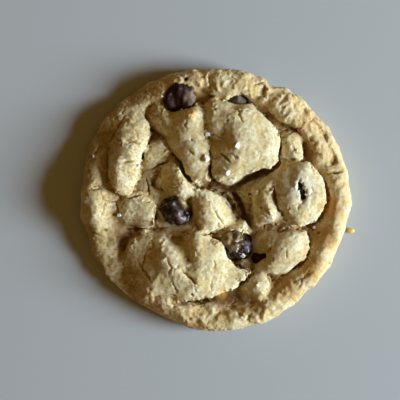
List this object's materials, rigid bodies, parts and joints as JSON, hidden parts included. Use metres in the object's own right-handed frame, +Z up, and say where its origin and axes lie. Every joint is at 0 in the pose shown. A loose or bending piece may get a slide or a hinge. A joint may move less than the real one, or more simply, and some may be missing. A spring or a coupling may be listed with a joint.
{
  "type": "chocolate chip cookie",
  "caption": "Thick soft-baked round cookie with a raised crumbly rim, cracked crust plates, chocolate chips in pockets and a few salt flakes; lies flat.",
  "frame": {"origin": "centre of the flat underside's bounding box, on the surface the cookie lies on", "axes": "+Z up out of the crust, +X to the right and +Y to the top of the view from above"},
  "size_m": [0.0852, 0.0824, 0.0162],
  "materials": {
    "dough": "matte baked crust",
    "chocolate": "soft sheen",
    "salt": "translucent crystal"
  },
  "bodies": {
    "root": {"dough": "dough", "chip_top_left": "chocolate", "chip_mid_left": "chocolate", "chip_centre": "chocolate", "chip_right": "chocolate", "chip_top": "chocolate", "chip_low_right": "chocolate"}
  },
  "joints": []
}
